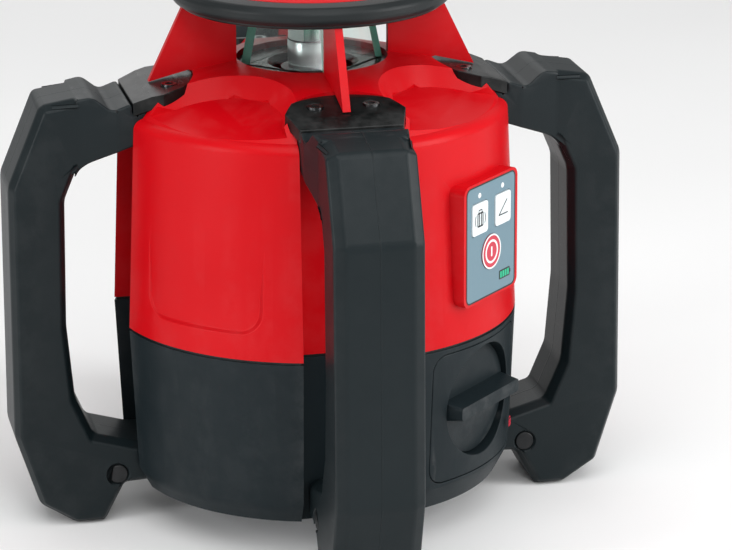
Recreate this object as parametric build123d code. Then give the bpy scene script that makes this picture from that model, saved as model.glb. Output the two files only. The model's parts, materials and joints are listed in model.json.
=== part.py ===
from build123d import *
import os
from math import atan2, cos, degrees, radians, sin, sqrt

# Self-levelling rotating laser level with four guard handles.
# Millimetres. +Z up, origin on the floor under the body's axis, keypad and battery face -Y.
# Two local frames are used: "radial" (X out along a handle, Y tangential) and the row frame.

# ---------------------------------------------------------------- driving dimensions
HANDLE_ANGLES = {"front_left": -135, "front_right": -45, "rear_right": 45, "rear_left": 135}
WINDOW_ANGLES = {"front": -90, "right": 0, "rear": 90, "left": 180}

# housing shells
wall = 3.0                      # plastic wall
seam_radius = 84.0              # lobe radius at the parting line
seam_z = 85.0
gasket_height = 1.2
bottom_radius = 76.5
bottom_z = 15.5
shoulder_radius = 80.35
shoulder_z = 168.6
lobe_top_radius = 76.6
lobe_top_z = 173.2
valley_floor = 71.0             # flat between two lobes, behind each handle
valley_half_width = 21.0
cone_edge_radius = 70.0
cone_edge_z = 183.0
cone_knee_radius = 47.0
cone_knee_z = 187.9
neck_radius = 31.0              # round opening under the glass cage
neck_z = 190.5
well_seat_z = 184.6
well_bore_radius = 26.0
scoop_centre = 70.6             # round inner end of each lobe's sloping top
scoop_radius = 27.6
scoop_inner_z = 181.0
scoop_flare = 45.0

# head cage and top
fin_thickness = 3.2
fin_top_radius = 53.5
fin_tip_radius = 68.0
fin_tip_z = 183.4
pane_half_side = 21.0
pane_thickness = 3.0
pane_lean = 8.0
pane_bottom_z = 188.0
top_plate_z = 213.5
top_plate_thickness = 3.0
top_plate_radius = 54.0
bumper_radius = 57.5
bumper_height = 8.0
cap_radius = 48.0
overall_height = 230.0

# handles
ridge_half_width = 13.4
side_half_width = 17.9
seam_gap = 0.2
side_draft = 28.0
flange_thickness = 5.4
flange_screw_radius = 61.1
flange_screw_offset = 11.3
tongue_half_width = 15.0
arm_root_half = 20.7            # arm's half width where it meets its flange
lug_half_width = 5.0
lug_bolt_radial = 87.0
lug_bolt_z = 21.0
lug_bolt_radius = 2.5

# base
base_plate_radius = 58.0
base_plate_thickness = 5.0
tripod_bore_radius = 6.8        # minor radius of a 5/8 inch, 11 threads per inch, stand thread
tripod_bore_length = 16.0
insert_radius = 13.0
base_screw_circle = 48.0
base_boss_height = 8.5

# battery pack and lock
pack_width = 62.0
pack_height = 55.0
pack_centre_z = 54.5
pack_back = 30.5                # distance of the pack's back from the body axis
pack_wall = 2.5
pack_corner = 6.5
pack_clearance = 0.35
bay_wall = 1.5
collar_back = 70.0
knob_recess_radius = 23.6
knob_recess_depth = 10.0
knob_z = 56.6
knob_disc_thickness = 3.2
knob_bar_length = 45.0
knob_bar_thickness = 5.4
knob_bar_draft = 10.0
knob_proud = 2.0
knob_shaft_radius = 5.0
knob_rim_gap = 0.6
knob_lift = 0.3                 # knob disc over the floor of its recess
cell_radius = 9.0
cell_length = 46.5
cell_side_gap = 0.9             # keeps the outer cells clear of the case's rounded corners
cell_gap = 0.5

# keypad
bezel_width = 42.0
bezel_bottom = 100.5
bezel_top = 151.0
bezel_proud = 2.18              # keypad frame's height over the lobe at its lower edge
bezel_corner = 4.0
foil_width = 37.5
foil_height = 47.5
foil_thickness = 0.8
panel_thickness = 2.5
key_width = 12.0
key_height = 13.0
key_row_z = 136.0
key_offset = 9.0
power_radius = 7.0
power_z = 120.0
key_proud = 0.4
key_gap = 0.3
key_travel = 0.5
key_stem_radius = 2.0
board_thickness = 1.6
switch_height = 1.0

# levelling mechanism
gimbal_z = 160.0
ring_inner = 38.0
ring_outer = 44.0
ring_height = 8.0
pin_radius = 2.5
running_fit = 0.05
small_screw = 1.75              # thread radius of the flange and base screws
small_hole = 1.8
tower_x = 51.0
tower_depth = 8.0
tower_width = 16.0
chassis_z = 90.0
chassis_thickness = 4.0
chassis_outer = 63.0
chassis_inner = 33.0
carrier_plate_radius = 34.0
tube_outer = 12.0
tube_inner = 9.0
tube_bottom_z = 100.0
journal_radius = 7.5
beam_radius = 4.5
bearing_outer = 10.0
bearing_height = 4.0
journal_top_z = 185.0
hub_outer = 12.0
pulley_z = 171.0
pulley_height = 7.0
head_pulley_groove = 13.0
motor_pulley_groove = 4.0
pulley_flange = 1.5
belt_thickness = 1.0
belt_clearance = 0.1
motor_distance = 26.0
motor_radius = 8.0
motor_shaft_radius = 1.5
head_radius = 9.0
head_bottom_z = 187.5
head_top_z = 210.0
head_wall = 2.0
head_facing = -125.0
lever_y = 50.0                  # drive on the chassis, tilts the ring about X
drive_x = Vector(-40.0, -26.0)  # drive on the ring, tilts the carrier about Y
drive_x_drop = 14.0             # how far below the gimbal centre its nut works
spindle_radius = 2.0
nut_radius = 5.0
nut_height = 8.0
nut_pin_radius = 1.5
slot_clearance = 0.1
slot_sweep = 2.2                # the nut's pin swings this far each way along its slot
slot_end_wall = 1.2

# housing screws, clamping the two shells with the chassis between them
clamp_points = [(sx * 62.0, sy * 23.0) for sx in (-1, 1) for sy in (-1, 1)]
clamp_boss_radius = 5.0
clamp_screw_radius = 2.0
clamp_head_z = 36.0
clamp_screw_top = 106.0
clamp_boss_top = 174.0

parts = {}


# ---------------------------------------------------------------- helpers
def cylinder(radius, z0, z1, x=0.0, y=0.0):
    return Pos(x, y, z0) * extrude(Circle(radius), z1 - z0)


def ring(outer, inner, z0, z1):
    return Pos(0, 0, z0) * extrude(Circle(outer) - Circle(inner), z1 - z0)


def block(x0, x1, y0, y1, z0, z1):
    size = (x1 - x0, y1 - y0, z1 - z0)
    return Pos((x0 + x1) / 2, (y0 + y1) / 2, (z0 + z1) / 2) * Box(*size)


def rod_x(radius, x0, x1, y, z):
    return Pos(x0, y, z) * Rot(0, 90, 0) * extrude(Circle(radius), x1 - x0)


def rod_y(radius, y0, y1, x, z):
    return Pos(x, y0, z) * Rot(-90, 0, 0) * extrude(Circle(radius), y1 - y0)


def front_plate(sketch, n0, n1, z):
    """Extrude a sketch drawn as (x, height) between distances n0 and n1 in front of the axis."""
    return Pos(0, -n0, z) * Rot(90, 0, 0) * extrude(sketch, n1 - n0)


def profile(points):
    """Closed face in the XZ plane from (radius, height) points."""
    return make_face(Plane.XZ * Polyline(*points, close=True))


def turned(points):
    return revolve(profile(points), Axis.Z)


def slab(points, half_width):
    """Closed (radius, height) outline made into a plate of the given half width."""
    return extrude(profile(points), half_width, both=True)


def around(angles, shape):
    """The same local piece turned to each angle, as a list of solids."""
    return [Rot(0, 0, angle) * shape for angle in angles]


def screw(radius, head_radius, z_head, z_end, head_height, x=0.0, y=0.0):
    """Pan head screw whose head starts at z_head and whose shank ends at z_end."""
    step = 1 if z_end > z_head else -1
    head = cylinder(head_radius, min(z_head, z_head + step * head_height),
                    max(z_head, z_head + step * head_height), x, y)
    shank = cylinder(radius, min(z_head, z_end), max(z_head, z_end), x, y)
    socket = cylinder(head_radius * 0.5, min(z_head, z_head + step * head_height * 0.6),
                      max(z_head, z_head + step * head_height * 0.6), x, y)
    return head + shank - socket


# ---------------------------------------------------------------- housing forms
lower_top = seam_z - gasket_height / 2
upper_bottom = seam_z + gasket_height / 2
valley_angles = list(HANDLE_ANGLES.values())


def body_form(inset=0.0):
    """Outer form of the body without valleys, or its inner form when inset by the wall."""
    outline = Polyline(
        (0, bottom_z + inset), (bottom_radius - inset, bottom_z + inset),
        (bottom_radius + 5.0 - inset, bottom_z + 9.5), (seam_radius - inset, seam_z),
        (shoulder_radius - inset, shoulder_z))
    shoulder = ThreePointArc(
        (shoulder_radius - inset, shoulder_z), (shoulder_radius - 1.2 - inset, shoulder_z + 3.1 - inset * 0.4),
        (lobe_top_radius - inset, lobe_top_z - inset * 0.8))
    return outline, shoulder


def outer_body():
    outline, shoulder = body_form()
    top = Polyline(
        (lobe_top_radius, lobe_top_z), (cone_edge_radius, cone_edge_z),
        (cone_knee_radius, cone_knee_z), (neck_radius, neck_z), (0, neck_z), (0, bottom_z))
    face = make_face(Plane.XZ * (outline + shoulder + top))
    return revolve(face, Axis.Z)


def inner_body():
    outline, shoulder = body_form(wall)
    roof = Polyline(
        (lobe_top_radius - wall, lobe_top_z - wall * 0.8), (lobe_top_radius - 6, lobe_top_z - 4.5),
        (52, scoop_inner_z - 6.5), (44, scoop_inner_z - 5), (36, well_seat_z - wall), (0, well_seat_z - wall),
        (0, bottom_z + wall))
    face = make_face(Plane.XZ * (outline + shoulder + roof))
    return revolve(face, Axis.Z)


def valleys(extra=0.0):
    length = 60
    cutter = Pos(valley_floor - extra + length / 2, 0, 100) * Box(length, 2 * (valley_half_width + extra), 260)
    return around(valley_angles, cutter)


def scoop():
    """Sloping lobe top, in the radial frame of a lobe: a flared round end that opens out between the flanges."""
    inner_edge = scoop_centre - scoop_radius
    rise = (scoop_inner_z - lobe_top_z) / (lobe_top_radius - inner_edge)
    slope = degrees(atan2(rise, 1))
    floor_z = scoop_inner_z - rise * scoop_radius
    pocket = extrude(Circle(scoop_radius), 20, taper=-scoop_flare)
    reach = 45
    start = sqrt(2) * (flange_side + seam_gap)
    tip = (start - scoop_centre, 0)
    fan = make_face(Polyline(tip, (tip[0] + reach, reach), (tip[0] + reach, -reach), close=True))
    fan -= Pos(-2 * scoop_radius, 0) * Rectangle(2 * scoop_radius, 2 * reach)
    pocket += extrude(fan, 20)
    return Pos(scoop_centre, 0, floor_z) * Rot(0, slope, 0) * pocket


# heights of the flange's top surface over each handle root, by radius
flange_line = [(50.0, 186.0), (54.1, 185.6), (61.0, 184.4), (70.0, 182.4), (77.4, 179.6)]
flange_inner = flange_line[0][0]
flange_outer = flange_line[-1][0]
flange_side = 24.3              # half width at the flange's widest
tongue_inner = 52.0


def flange_outline():
    """Shield shape seen from above."""
    half = [(flange_inner + 6.5, 20), (65.5, flange_side), (flange_outer, arm_root_half)]
    nose = ThreePointArc((half[0][0], -half[0][1]), (flange_inner, 0), half[0])
    sides = Polyline(*half, *[(x, -y) for x, y in reversed(half)])
    return make_face(nose + sides)


def below(line, depth):
    return [(radius, height - depth) for radius, height in line]


def flange_recess():
    """Space over the flange's underside, cut from the body."""
    grown = offset(flange_outline(), amount=seam_gap)
    prism = Pos(0, 0, 150) * extrude(grown, 60)
    floor = below(flange_line, flange_thickness)
    start = (floor[0][0] - 2, floor[0][1] + 0.1)
    room = slab([start, *floor, (flange_outer + 4, floor[-1][1] - 3), (flange_outer + 4, 215), (start[0], 215)], 30)
    return prism & room


tongue_top = [(tongue_inner, 185.8 - flange_thickness)] + below(flange_line[1:], flange_thickness)
tongue_depth = 4.0


def tongue(half_width, grow=0.0):
    """Ledge of the handle that lies under the flange."""
    bottom = below(tongue_top, tongue_depth + grow)
    bottom = [(bottom[0][0] - grow, bottom[0][1]), *bottom[1:]]
    top = [(tongue_top[0][0] - grow, tongue_top[0][1]), *tongue_top[1:]]
    return slab([*top, *reversed(bottom)], half_width + grow)


# ---------------------------------------------------------------- housing shells
outer = outer_body()
inner = inner_body()
cavity_blocks = valleys(wall)
inner = inner - Compound(children=cavity_blocks)

bay_half_width = pack_width / 2 + pack_clearance
bay_half_height = pack_height / 2 + pack_clearance
bay_back = pack_back - pack_clearance - 1.0


def rounded_front(half_width, half_height, corner, n0, n1, z):
    return front_plate(RectangleRounded(2 * half_width, 2 * half_height, corner), n0, n1, z)


def lower_housing():
    body = outer & block(-100, 100, -100, 100, 0, lower_top)
    body -= Compound(children=valleys())
    collar = outer & block(-bay_half_width - 5, bay_half_width + 5, -100, -collar_back,
                           bottom_z, lower_top)
    shell = body - inner + collar
    shell -= rounded_front(bay_half_width, bay_half_height, pack_corner + pack_clearance,
                           collar_back - 1, 100, pack_centre_z)
    shell -= rounded_front(bay_half_width + bay_wall, bay_half_height + bay_wall, pack_corner + bay_wall,
                           bay_back - bay_wall, collar_back, pack_centre_z)
    lug = slab(lug_outline(), lug_half_width)
    lug -= rod_y(lug_bolt_radius + running_fit, -20, 20, lug_bolt_radial, lug_bolt_z)
    for piece in around(valley_angles, lug):
        shell += piece
    for x, y in clamp_points:
        shell += cylinder(clamp_boss_radius, bottom_z + 1, chassis_z, x, y)
    for x, y in clamp_points:
        shell -= cylinder(clamp_boss_radius - 1.2, bottom_z, clamp_head_z, x, y)
        shell -= cylinder(clamp_screw_radius, clamp_head_z, chassis_z, x, y)
    shell -= cylinder(insert_radius + seam_gap, 0, 60)
    for x, y in base_screw_points():
        shell += cylinder(4.5, bottom_z, bottom_z + base_boss_height, x, y)
        shell -= cylinder(small_screw, bottom_z - 1, bottom_z + base_boss_height - 1, x, y)
    return shell


def lug_outline(grow=0.0):
    """Ear of the lower housing that each handle is bolted to, in the radial frame."""
    end = lug_bolt_radial + 5 + grow
    low = bottom_z + 1 - grow
    high = lug_bolt_z + 6.5 + grow
    return [(valley_floor - 2, low), (end, low), (end, high), (valley_floor - 2, high)]


def base_screw_points():
    places = []
    for angle in valley_angles:
        places.append((base_screw_circle * cos(radians(angle)), base_screw_circle * sin(radians(angle))))
    return places


def fin():
    root = neck_radius + 0.6
    outline = [(root, neck_z - 3), (root, top_plate_z), (fin_top_radius, top_plate_z),
               (fin_tip_radius, fin_tip_z), (flange_inner + 1.5, cone_knee_z - 0.4),
               (flange_inner - 0.5, cone_knee_z - 1), (flange_inner - 1, cone_knee_z - 4)]
    return slab(outline, fin_thickness / 2)


def upper_housing():
    body = outer & block(-100, 100, -100, 100, upper_bottom, 200)
    body -= Compound(children=valleys())
    for angle in WINDOW_ANGLES.values():
        body -= Rot(0, 0, angle) * scoop()
    body -= inner
    for x, y in clamp_points:
        body += cylinder(clamp_boss_radius, chassis_z + chassis_thickness, clamp_boss_top, x, y) & outer
    boss_z = shoulder_z + 4
    for side in (-1, 1):
        boss = cylinder(4.5, boss_z, flange_line[2][1] - flange_thickness - tongue_depth,
                        flange_screw_radius, side * flange_screw_offset)
        for piece in around(valley_angles, boss):
            body += piece & outer
    for angle in valley_angles:
        body -= Rot(0, 0, angle) * flange_recess()
        body -= Rot(0, 0, angle) * tongue(tongue_half_width, seam_gap)
        for side in (-1, 1):
            hole = cylinder(small_screw, boss_z + 1, 190, flange_screw_radius, side * flange_screw_offset)
            body -= Rot(0, 0, angle) * hole
    body -= cylinder(neck_radius, well_seat_z, neck_z + 1)
    body -= cylinder(well_bore_radius, well_seat_z - 10, neck_z)
    for angle in valley_angles:
        body += Rot(0, 0, angle) * fin()
    body = add_keypad_frame(body)
    for x, y in clamp_points:
        body -= cylinder(clamp_screw_radius, chassis_z, clamp_screw_top + 1, x, y)
    return body


# ---------------------------------------------------------------- keypad
bezel_centre_z = (bezel_bottom + bezel_top) / 2
lobe_taper = (seam_radius - shoulder_radius) / (shoulder_z - seam_z)
bezel_face = seam_radius - lobe_taper * (bezel_bottom - seam_z) + bezel_proud
panel_face = bezel_face - foil_thickness
panel_back = panel_face - panel_thickness
stem_end = panel_back - 1.0
switch_top = stem_end - key_travel - 0.1
board_face = switch_top - switch_height


def key_shapes(grow=0.0):
    """Plan of each key, drawn about the bezel's centre, with the centre of its stem."""
    rows = {}
    for name, x in (("key_shock", -key_offset), ("key_slope", key_offset)):
        shape = Pos(x, key_row_z - bezel_centre_z) * RectangleRounded(
            key_width + 2 * grow, key_height + 2 * grow, 1.5 + grow)
        rows[name] = (shape, x, key_row_z)
    rows["key_power"] = (Pos(0, power_z - bezel_centre_z) * Circle(power_radius + grow), 0, power_z)
    return rows


def add_keypad_frame(body):
    height = bezel_top - bezel_bottom
    frame = front_plate(RectangleRounded(bezel_width, height, bezel_corner),
                        shoulder_radius - 4, bezel_face, bezel_centre_z)
    body += frame
    pocket = front_plate(RectangleRounded(foil_width, foil_height, 3), shoulder_radius - 30,
                         panel_back, bezel_centre_z)
    body -= pocket & block(-50, 50, -100, -60, 90, 160)
    body -= front_plate(RectangleRounded(foil_width + 0.2, foil_height + 0.2, 2.6),
                        panel_face, 100, bezel_centre_z)
    for shape, _, _ in key_shapes(key_gap).values():
        body -= front_plate(shape, panel_back - 1, 100, bezel_centre_z)
    for x in (-14.5, 14.5):
        for z in (-20, 20):
            body += front_plate(Pos(x, z) * Circle(1.8), board_face, panel_back, bezel_centre_z)
    return body


def keypad_foil():
    foil = front_plate(RectangleRounded(foil_width, foil_height, 2.5), panel_face, bezel_face, bezel_centre_z)
    for shape, _, _ in key_shapes(key_gap).values():
        foil -= front_plate(shape, panel_face - 1, 100, bezel_centre_z)
    return foil


def keypad_board():
    pieces = [front_plate(Rectangle(foil_width - 2.5, foil_height - 2.5),
                          board_face - board_thickness, board_face, bezel_centre_z)]
    for _, x, z in key_shapes().values():
        pieces.append(front_plate(Pos(x, z - bezel_centre_z) * Rectangle(6, 6),
                                  board_face, switch_top, bezel_centre_z))
    connector = front_plate(Pos(0, -17) * Rectangle(14, 4), board_face - board_thickness - 4,
                            board_face - board_thickness, bezel_centre_z)
    return pieces + [connector]


def keys():
    made = {}
    for name, (shape, x, z) in key_shapes().items():
        cap = front_plate(shape, panel_back + 0.2, bezel_face + key_proud, bezel_centre_z)
        stem = front_plate(Pos(x, z - bezel_centre_z) * Circle(key_stem_radius), stem_end, panel_back + 0.2,
                           bezel_centre_z)
        made[name] = cap + stem
    return made


# ---------------------------------------------------------------- handles and flanges
def arm_flare(face):
    """Widening of the handle's upper arm towards its flange, on both sides."""
    def plan(root_half, z):
        points = [(valley_floor + seam_gap, 10), (valley_floor + seam_gap, root_half), (83.5, root_half),
                  (100, side_half_width - 0.1), (100, 10)]
        return Pos(0, 0, z) * make_face(Polyline(*points, close=True))
    cheek = loft([plan(side_half_width - 0.1, 130), plan(arm_root_half, 168)])
    cheek += extrude(plan(arm_root_half, 168), 20)
    cheek = cheek & extrude(face, arm_root_half + 1, both=True)
    return cheek + mirror(cheek, about=Plane.XZ)


def handle():
    """Guard handle in the radial frame: flat ridge, sloping sides, open grip towards the body."""
    root = valley_floor + seam_gap
    outline = [
        (76.0, 180.2), (85.8, 176.6), (93.2, 182.6), (114.1, 179.3), (128.1, 145.8), (129.0, 39.7),
        (119.3, 9.1), (105.0, 0), (92.4, 0), (84.0, 15.8), (root, 16.5), (root, 33.0), (80.0, 33.8),
        (96.5, 38.5), (103.5, 55.0), (106.1, 86.1), (105.2, 139.4), (99.9, 152.0), (96.0, 155.0), (78.0, 161.4),
        (root, 162.4), (root, 175.2)]
    face = profile(outline)
    core = extrude(face, ridge_half_width, both=True)
    side = extrude(Pos(0, ridge_half_width, 0) * face, side_half_width - ridge_half_width, taper=side_draft)
    body = core + side + mirror(side, about=Plane.XZ)
    body += arm_flare(face)
    body += tongue(tongue_half_width)
    body = body - flange_cap_space()
    body -= slab(lug_outline(seam_gap), lug_half_width + seam_gap)
    body -= rod_y(lug_bolt_radius, -40, 40, lug_bolt_radial, lug_bolt_z)
    for side_sign in (-1, 1):
        near = side_sign * (side_half_width - 2.0)
        body -= rod_y(4.2, min(near, side_sign * 30), max(near, side_sign * 30), lug_bolt_radial, lug_bolt_z)
        body -= cylinder(small_hole, 150, 200, flange_screw_radius, side_sign * flange_screw_offset)
    return body


def flange_cap_space():
    """Everything the flange itself takes, so the handle stays under it."""
    end = (flange_outer + seam_gap, flange_line[-1][1] - flange_thickness - 0.1)
    start = (flange_inner - 3, flange_line[0][1] - flange_thickness)
    return slab([(start[0], 230), start, *below(flange_line, flange_thickness), end, (end[0], 230)], 60)


def flange():
    plate = slab([*flange_line, *reversed(below(flange_line, flange_thickness))], 30)
    prism = Pos(0, 0, 150) * extrude(flange_outline(), 60)
    piece = plate & prism
    for side in (-1, 1):
        piece -= cylinder(small_hole, 150, 200, flange_screw_radius, side * flange_screw_offset)
        piece -= cylinder(3.4, flange_line[2][1] - 1.4, 200, flange_screw_radius, side * flange_screw_offset)
    return piece


# ---------------------------------------------------------------- build: body pieces
parts["lower_housing"] = lower_housing()
parts["upper_housing"] = upper_housing()

gasket_face = Circle(seam_radius - 0.8)
gasket_hole = Circle(seam_radius - wall)
for angle in valley_angles:
    gasket_face -= Rot(0, 0, angle) * Pos(valley_floor + 30 - 0.8, 0) * Rectangle(60, 2 * valley_half_width + 1.6)
    gasket_hole -= Rot(0, 0, angle) * Pos(valley_floor + 30 - wall, 0) * Rectangle(60, 2 * valley_half_width + 2 * wall)
parts["housing_gasket"] = Pos(0, 0, lower_top) * extrude(gasket_face - gasket_hole, gasket_height)

parts["housing_screws"] = [
    screw(clamp_screw_radius, 3.6, clamp_head_z - 2.5, clamp_screw_top, 2.5, x, y) for x, y in clamp_points]

plate_bottom = bottom_z - base_plate_thickness
base_plate = cylinder(base_plate_radius, plate_bottom, bottom_z)
base_plate = chamfer(base_plate.edges().group_by(Axis.Z)[0], 1.5)
base_plate -= cylinder(insert_radius, 0, 40)
for x, y in base_screw_points():
    base_plate -= cylinder(small_hole, 0, 40, x, y)
    base_plate -= cylinder(3.6, 0, plate_bottom + 2.2, x, y)
parts["base_plate"] = base_plate
parts["base_screws"] = [screw(small_screw, 3.4, plate_bottom + 0.1, bottom_z + base_boss_height - 1.5, 2.1, x, y)
                        for x, y in base_screw_points()]

insert = cylinder(insert_radius, plate_bottom, plate_bottom + tripod_bore_length + 2)
insert -= cylinder(tripod_bore_radius, plate_bottom, plate_bottom + tripod_bore_length)
parts["tripod_insert"] = insert

handle_piece = handle()
flange_piece = flange()
for name, angle in HANDLE_ANGLES.items():
    parts["handle_" + name] = Rot(0, 0, angle) * handle_piece
    parts["handle_flange_" + name] = Rot(0, 0, angle) * flange_piece

flange_screw = [screw(small_screw, 3.2, flange_line[2][1] + 0.4, shoulder_z + 6, 1.8,
                      flange_screw_radius, side * flange_screw_offset) for side in (-1, 1)]
parts["flange_screws"] = [Rot(0, 0, a) * piece for a in valley_angles for piece in flange_screw]

bolt = rod_y(lug_bolt_radius, -side_half_width + 2, side_half_width - 2, lug_bolt_radial, lug_bolt_z)
bolt += rod_y(3.9, side_half_width - 2, side_half_width - 0.3, lug_bolt_radial, lug_bolt_z)
bolt += rod_y(3.9, -side_half_width + 0.3, -side_half_width + 2, lug_bolt_radial, lug_bolt_z)
parts["handle_bolts"] = around(valley_angles, bolt)

# ---------------------------------------------------------------- build: cage and top
well = turned([(15.5, well_seat_z), (neck_radius - seam_gap, well_seat_z), (neck_radius - seam_gap, pane_bottom_z),
               (17.6, pane_bottom_z), (15.5, 186.2)])
parts["head_well"] = well

pane_height = top_plate_z - pane_bottom_z
cage = extrude(Rectangle(2 * pane_half_side, 2 * pane_half_side), pane_height, taper=pane_lean)
cage -= extrude(Rectangle(2 * (pane_half_side - pane_thickness), 2 * (pane_half_side - pane_thickness)),
                pane_height, taper=pane_lean)
cage = Pos(0, 0, pane_bottom_z) * cage
sector = Pos(0.3, 0, 150) * extrude(make_face(Polyline((0, 0), (60, 60), (60, -60), close=True)), 100)
pane = cage & sector
for name, angle in WINDOW_ANGLES.items():
    parts["window_" + name] = Rot(0, 0, angle) * pane

plate_top = top_plate_z + top_plate_thickness
parts["top_plate"] = cylinder(top_plate_radius, top_plate_z, plate_top)

ring_bottom = top_plate_z + 1.5
ring_top = ring_bottom + bumper_height
rim = bumper_radius
bumper = turned([
    (top_plate_radius, ring_bottom), (rim - 1.6, ring_bottom), (rim, ring_bottom + 2.2),
    (rim, ring_top - 2.6), (rim - 2.0, ring_top - 0.6), (cap_radius + 2, ring_top),
    (cap_radius, ring_top), (cap_radius, plate_top), (top_plate_radius, plate_top)])
parts["bumper_ring"] = bumper

cap_rise = overall_height - ring_top
cap_sphere = (cap_radius ** 2 + cap_rise ** 2) / (2 * cap_rise)
crown = ThreePointArc((cap_radius, ring_top),
                      (cap_radius / 2, overall_height - cap_sphere + sqrt(cap_sphere ** 2 - cap_radius ** 2 / 4)),
                      (0, overall_height))
cap_side = Polyline((0, overall_height), (0, overall_height - 3), (cap_radius - 8, ring_top - 1.5),
                    (cap_radius - 3, plate_top), (cap_radius, plate_top), (cap_radius, ring_top))
parts["top_cap"] = revolve(make_face(Plane.XZ * (crown + cap_side)), Axis.Z)

# ---------------------------------------------------------------- build: keypad
parts["keypad_foil"] = keypad_foil()
parts["keypad_board"] = keypad_board()
parts.update(keys())

# ---------------------------------------------------------------- build: battery bay and pack
bay = rounded_front(bay_half_width + bay_wall, bay_half_height + bay_wall, pack_corner + bay_wall,
                    bay_back - bay_wall, collar_back, pack_centre_z)
bay -= rounded_front(bay_half_width, bay_half_height, pack_corner + pack_clearance, bay_back, 100, pack_centre_z)
contact_xs = (-15, -5, 5, 15)
for x in contact_xs:
    bay -= front_plate(Pos(x, 0) * Rectangle(4, 12), bay_back - 5, bay_back + 1, pack_centre_z)
parts["battery_bay"] = bay
parts["bay_contacts"] = [front_plate(Pos(x, 0) * Rectangle(4, 12), bay_back - 4, bay_back + 0.4, pack_centre_z)
                         for x in contact_xs]

knob_floor = seam_radius - knob_recess_depth
case_outer = outer & rounded_front(pack_width / 2, pack_height / 2, pack_corner, pack_back, 100, pack_centre_z)
case_outer -= front_plate(Circle(knob_recess_radius), knob_floor, 100, knob_z)
case_inner = rounded_front(pack_width / 2 - pack_wall, pack_height / 2 - pack_wall, pack_corner - pack_wall,
                           pack_back + pack_wall, knob_floor - pack_wall, pack_centre_z)
case = case_outer - case_inner
case -= front_plate(Circle(knob_shaft_radius + running_fit), 60, 100, knob_z)
for x in contact_xs:
    case -= front_plate(Pos(x, 0) * Rectangle(5, 13), pack_back - 1, pack_back + pack_wall + 1, pack_centre_z)
parts["battery_case"] = case
parts["battery_terminals"] = [
    front_plate(Pos(x, 0) * Rectangle(5, 13), pack_back + 0.4, pack_back + pack_wall, pack_centre_z)
    for x in contact_xs]
cell_pitch = pack_width / 2 - pack_wall - cell_radius - cell_side_gap
cells = []
for column in (-1, 0, 1):
    for row in (0, 1):
        cells.append(cylinder(cell_radius, pack_centre_z - cell_length / 2, pack_centre_z + cell_length / 2,
                              column * cell_pitch,
                              -(pack_back + pack_wall + cell_gap + cell_radius + row * (2 * cell_radius + cell_gap))))
parts["battery_cells"] = cells

disc_front = knob_floor + knob_lift + knob_disc_thickness
disc = front_plate(Circle(knob_recess_radius - knob_rim_gap), knob_floor + knob_lift, disc_front, knob_z)
bar_front = seam_radius + knob_proud
bar_depth = bar_front - disc_front + 1
bar = extrude(RectangleRounded(knob_bar_length, knob_bar_thickness, 1.2), bar_depth, taper=-knob_bar_draft)
bar &= Cylinder(knob_recess_radius - knob_rim_gap, 3 * bar_depth)
bar = Pos(0, -bar_front, knob_z) * Rot(-90, 0, 0) * bar
shaft = front_plate(Circle(knob_shaft_radius), knob_floor - pack_wall - 0.2, knob_floor + 1, knob_z)
parts["lock_knob"] = disc + bar + shaft

# ---------------------------------------------------------------- build: chassis and gimbal
chassis_top = chassis_z + chassis_thickness
chassis = ring(chassis_outer, chassis_inner, chassis_z, chassis_top)
for x, y in clamp_points:
    chassis += cylinder(clamp_boss_radius + 1, chassis_z, chassis_top, x, y)
    chassis -= cylinder(clamp_screw_radius + 0.2, chassis_z - 1, chassis_top + 1, x, y)
for side in (-1, 1):
    centre = side * tower_x
    tower = block(centre - tower_depth / 2, centre + tower_depth / 2, -tower_width / 2, tower_width / 2,
                  chassis_top, gimbal_z)
    tower += rod_x(tower_width / 2, centre - tower_depth / 2, centre + tower_depth / 2, 0, gimbal_z)
    chassis += tower
    chassis -= rod_x(pin_radius, centre - 10, centre + 10, 0, gimbal_z)
parts["chassis"] = chassis
pin_start = ring_inner + 0.5
pin_end = tower_x + tower_depth / 2
parts["outer_pivot_pins"] = [rod_x(pin_radius, pin_start, pin_end, 0, gimbal_z),
                             rod_x(pin_radius, -pin_end, -pin_start, 0, gimbal_z)]

ring_bottom_z = gimbal_z - ring_height / 2
ring_top_z = gimbal_z + ring_height / 2
gimbal_ring = ring(ring_outer, ring_inner, ring_bottom_z, ring_top_z)
plate_x0 = nut_radius + 2
lever = block(plate_x0, plate_x0 + 4, ring_outer - 3, lever_y + 6, ring_bottom_z, ring_top_z)
lever -= block(plate_x0 - 1, plate_x0 + 5, lever_y - 3, lever_y + 3,
               gimbal_z - nut_pin_radius - slot_clearance, gimbal_z + nut_pin_radius + slot_clearance)
gimbal_ring += lever
drive_radius = drive_x.length
drive_angle = -Vector(drive_x.X, drive_x.Y).get_angle(Vector(1, 0))
shelf_z = 124.0
bracket_r = drive_radius + nut_radius + 6
bracket = block(ring_outer - 2, bracket_r + 4, -4, 4, ring_bottom_z, gimbal_z)
bracket += block(bracket_r, bracket_r + 4, -4, 4, shelf_z, gimbal_z)
bracket += block(drive_radius - 8, bracket_r + 4, -4, 4, shelf_z, shelf_z + 3)
bracket -= cylinder(spindle_radius + running_fit, shelf_z - 1, gimbal_z, drive_radius, 0)
gimbal_ring += Rot(0, 0, drive_angle) * bracket
gimbal_ring -= rod_x(pin_radius + running_fit, ring_inner - 5, ring_outer + 1, 0, gimbal_z)
gimbal_ring -= rod_x(pin_radius + running_fit, -ring_outer - 1, -ring_inner + 5, 0, gimbal_z)
gimbal_ring -= rod_y(pin_radius, -ring_outer - 1, ring_outer + 1, 0, gimbal_z)
parts["gimbal_ring"] = gimbal_ring
parts["inner_pivot_pins"] = [rod_y(pin_radius, 28, ring_outer, 0, gimbal_z),
                             rod_y(pin_radius, -ring_outer, -28, 0, gimbal_z)]


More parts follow.
